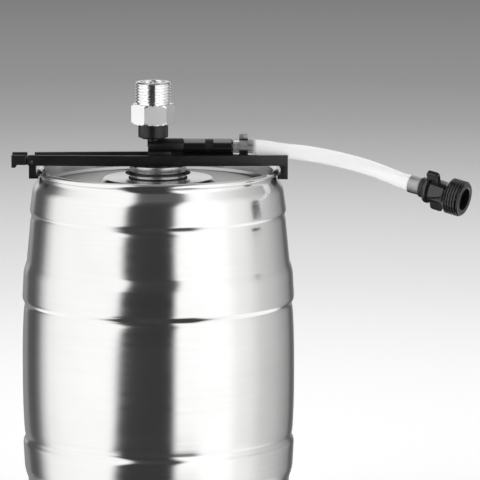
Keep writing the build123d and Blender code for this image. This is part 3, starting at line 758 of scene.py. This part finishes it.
# The other pieces are shown as their CAD nodes, with these looks.
FINISHES = {
    "dip_tube": SATIN, "hose_clamp": CLAMP_STEEL, "connector_clamp": CLAMP_STEEL, "latch_pin": PIN_STEEL,
    "latch_spring": PIN_STEEL, "valve_spring": PIN_STEEL, "valve_poppet": BRASS, "connector_tail": NICKEL,
    "seat_ring": SATIN, "bung_seal": RUBBER, "ring_gasket": RUBBER, "tube_oring": RUBBER,
    "outlet_washer": RUBBER, "valve_seal": RUBBER, "connector_washer": RUBBER, "top_collar": BLACK,
    # The gas arm and the hose tail get the glossy black with a painted highlight on their upward faces.
    "union_ring": BLACK, "gas_arm": TOP_LIT_BLACK, "hose_tail": TOP_LIT_BLACK,
}
for node, finish in FINISHES.items():
    shown = frame["nodes"][node]
    for material_slot in shown.material_slots:
        material_slot.material = finish

# ---------------------------------------------------------------------------- studio
# The light comes from the world: a soft box on either side, whose inner edges lean to the right as they
# rise, with a dark strip between them that runs from the front over the top to the back.
# Levels of the two sides by bearing, in degrees from the camera's side, positive towards +X.
SIDES = [
    (-180, 0.30), (-168, 0.26), (-150, 0.12), (-130, 0.10), (-122, 0.22), (-114, 0.72), (-106, 1.10),
    (-90, 1.24), (-60, 1.30), (-31, 1.32), (0, 1.4), (15, 1.38), (62, 1.38), (72, 1.15), (85, 1.05),
    (98, 0.80), (118, 0.63), (134, 0.43), (145, 0.30), (152, 0.13), (160, 0.13), (172, 0.26), (180, 0.30),
]
# Levels of the strip by its angle in the YZ plane: 0 is the camera's side, 90 is overhead, 180 is the back.
STRIP = [
    (-180, 0.50), (-172, 0.30), (-160, 0.28), (-120, 0.15), (-60, 0.06), (0, 0.045), (45, 0.06),
    (70, 0.16), (85, 0.30), (100, 0.18), (112, 0.30), (120, 1.0), (140, 1.0), (150, 0.5), (162, 0.75),
    (174, 0.75), (180, 0.6),
]
LEFT_EDGE, LEFT_LEAN = -0.505, 0.285
RIGHT_EDGE, RIGHT_LEAN = 0.262, 0.10
EDGE_SOFT = 0.055
UNDER_DARK, UNDER_BRIGHT = 0.06, 1.3
BACKDROP = 0.24
# Some levels are above 1, so the ramps store them divided by WORLD_GAIN, the strength of the light.
WORLD_GAIN = 4.0
world = bpy.data.worlds.new("studio")
scene.world = world
world.use_nodes = True
tree = world.node_tree
tree.nodes.clear()


def world_node(kind, **settings):
    made = tree.nodes.new(kind)
    for name, value in settings.items():
        setattr(made, name, value)
    return made


def world_math(operation, a, b=None):
    made = world_node("ShaderNodeMath", operation=operation)
    for i, value in enumerate((a, b)):
        if isinstance(value, bpy.types.NodeSocket):
            tree.links.new(value, made.inputs[i])
        elif value is not None:
            made.inputs[i].default_value = value
    return made.outputs[0]


def world_ramp(source, stops):
    """A ramp of levels, stored divided by WORLD_GAIN."""
    made = world_node("ShaderNodeValToRGB")
    ramp = made.color_ramp
    while len(ramp.elements) < len(stops):
        ramp.elements.new(1.0)
    for element, (spot, level) in zip(ramp.elements, stops):
        element.position = spot
        element.color = (*[level / WORLD_GAIN] * 3, 1)
    tree.links.new(source, made.inputs[0])
    return made.outputs[0]


direction = world_node("ShaderNodeTexCoord").outputs["Generated"]
split = world_node("ShaderNodeSeparateXYZ")
tree.links.new(direction, split.inputs[0])
east, north, up = split.outputs
front = world_math("MULTIPLY", north, -1.0)


def by_angle(rise, run, stops):
    """Levels by the angle of (rise, run), with stops in degrees."""
    around = world_math("ADD", world_math("MULTIPLY", world_math("ARCTAN2", rise, run), 0.5 / math.pi), 0.5)
    return world_ramp(around, [((degrees + 180) / 360, level) for degrees, level in stops])


def world_step(source, low, high, bottom=0.0, top=1.0):
    made = world_node("ShaderNodeMapRange", interpolation_type="SMOOTHSTEP")
    tree.links.new(source, made.inputs[0])
    for i, value in enumerate((low, high, bottom, top)):
        made.inputs[i + 1].default_value = value
    return made.outputs[0]


def world_mix(factor, first, second):
    made = world_node("ShaderNodeMix", data_type="RGBA")
    tree.links.new(factor, made.inputs["Factor"])
    for i, source in ((6, first), (7, second)):
        tree.links.new(source, made.inputs[i])
    return made.outputs[2]


left_line = world_math("SUBTRACT", east, world_math("MULTIPLY", up, LEFT_LEAN))
right_line = world_math("SUBTRACT", east, world_math("MULTIPLY", up, RIGHT_LEAN))
left_side = world_step(left_line, LEFT_EDGE - EDGE_SOFT, LEFT_EDGE + EDGE_SOFT, 1.0, 0.0)
right_side = world_step(right_line, RIGHT_EDGE - EDGE_SOFT, RIGHT_EDGE + EDGE_SOFT)
either_side = world_math("MAXIMUM", left_side, right_side)
boxes = world_mix(either_side, by_angle(up, front, STRIP), by_angle(east, front, SIDES))
under = world_step(
    world_math("ABSOLUTE", east), 0.45, 0.58, UNDER_DARK / WORLD_GAIN, UNDER_BRIGHT / WORLD_GAIN
)
overall = world_mix(world_step(up, -0.36, -0.48), boxes, under)
studio = world_node("ShaderNodeBackground")
studio.inputs["Strength"].default_value = WORLD_GAIN
tree.links.new(overall, studio.inputs["Color"])
backdrop = world_node("ShaderNodeBackground")
backdrop.inputs["Color"].default_value = (BACKDROP, BACKDROP, BACKDROP, 1)
seen = world_node("ShaderNodeLightPath").outputs["Is Camera Ray"]
either = world_node("ShaderNodeMixShader")
tree.links.new(seen, either.inputs[0])
tree.links.new(studio.outputs[0], either.inputs[1])
tree.links.new(backdrop.outputs[0], either.inputs[2])
output = world_node("ShaderNodeOutputWorld")
tree.links.new(either.outputs[0], output.inputs["Surface"])

FLOOR_R, FLOOR_REACH = 30.0, 6.0
floor_mesh = bpy.data.meshes.new("floor")
bm = bmesh.new()
bmesh.ops.create_circle(bm, cap_ends=True, segments=96, radius=FLOOR_R)
bm.to_mesh(floor_mesh)
bm.free()
floor = bpy.data.objects.new("floor", floor_mesh)
scene.collection.objects.link(floor)
floor.visible_glossy = False
paper = Shader("paper", Roughness=1.0, Specular_IOR_Level=0.0)
distance = paper.node("ShaderNodeVectorMath", operation="LENGTH")
paper.link(paper.place, distance.inputs[0])
# A painted pool of light: tones of the floor by distance from the keg's axis, in metres, brightest at the keg
# and darker away from it.
FLOOR_LIGHT_POOL = [
    (0.40, 1.0), (0.57, 0.985), (0.744, 0.95), (0.933, 0.885), (1.143, 0.79), (1.376, 0.71),
    (1.635, 0.605), (1.93, 0.475), (2.26, 0.365), (2.64, 0.29), (3.6, 0.21), (FLOOR_REACH, 0.19),
]
FLOOR_GAIN, FLOOR_GLOW = 0.97, 0.33
floor_tone = paper.tones(
    paper.math("DIVIDE", distance.outputs["Value"], FLOOR_REACH),
    *[(spot / FLOOR_REACH, tone * FLOOR_GAIN) for spot, tone in FLOOR_LIGHT_POOL],
)
paper.to("Base Color", floor_tone)
# The floor also glows with these tones, a painted light of its own.
paper.to("Emission Color", floor_tone)
paper.bsdf.inputs["Emission Strength"].default_value = FLOOR_GLOW
floor_mesh.materials.append(paper.material)
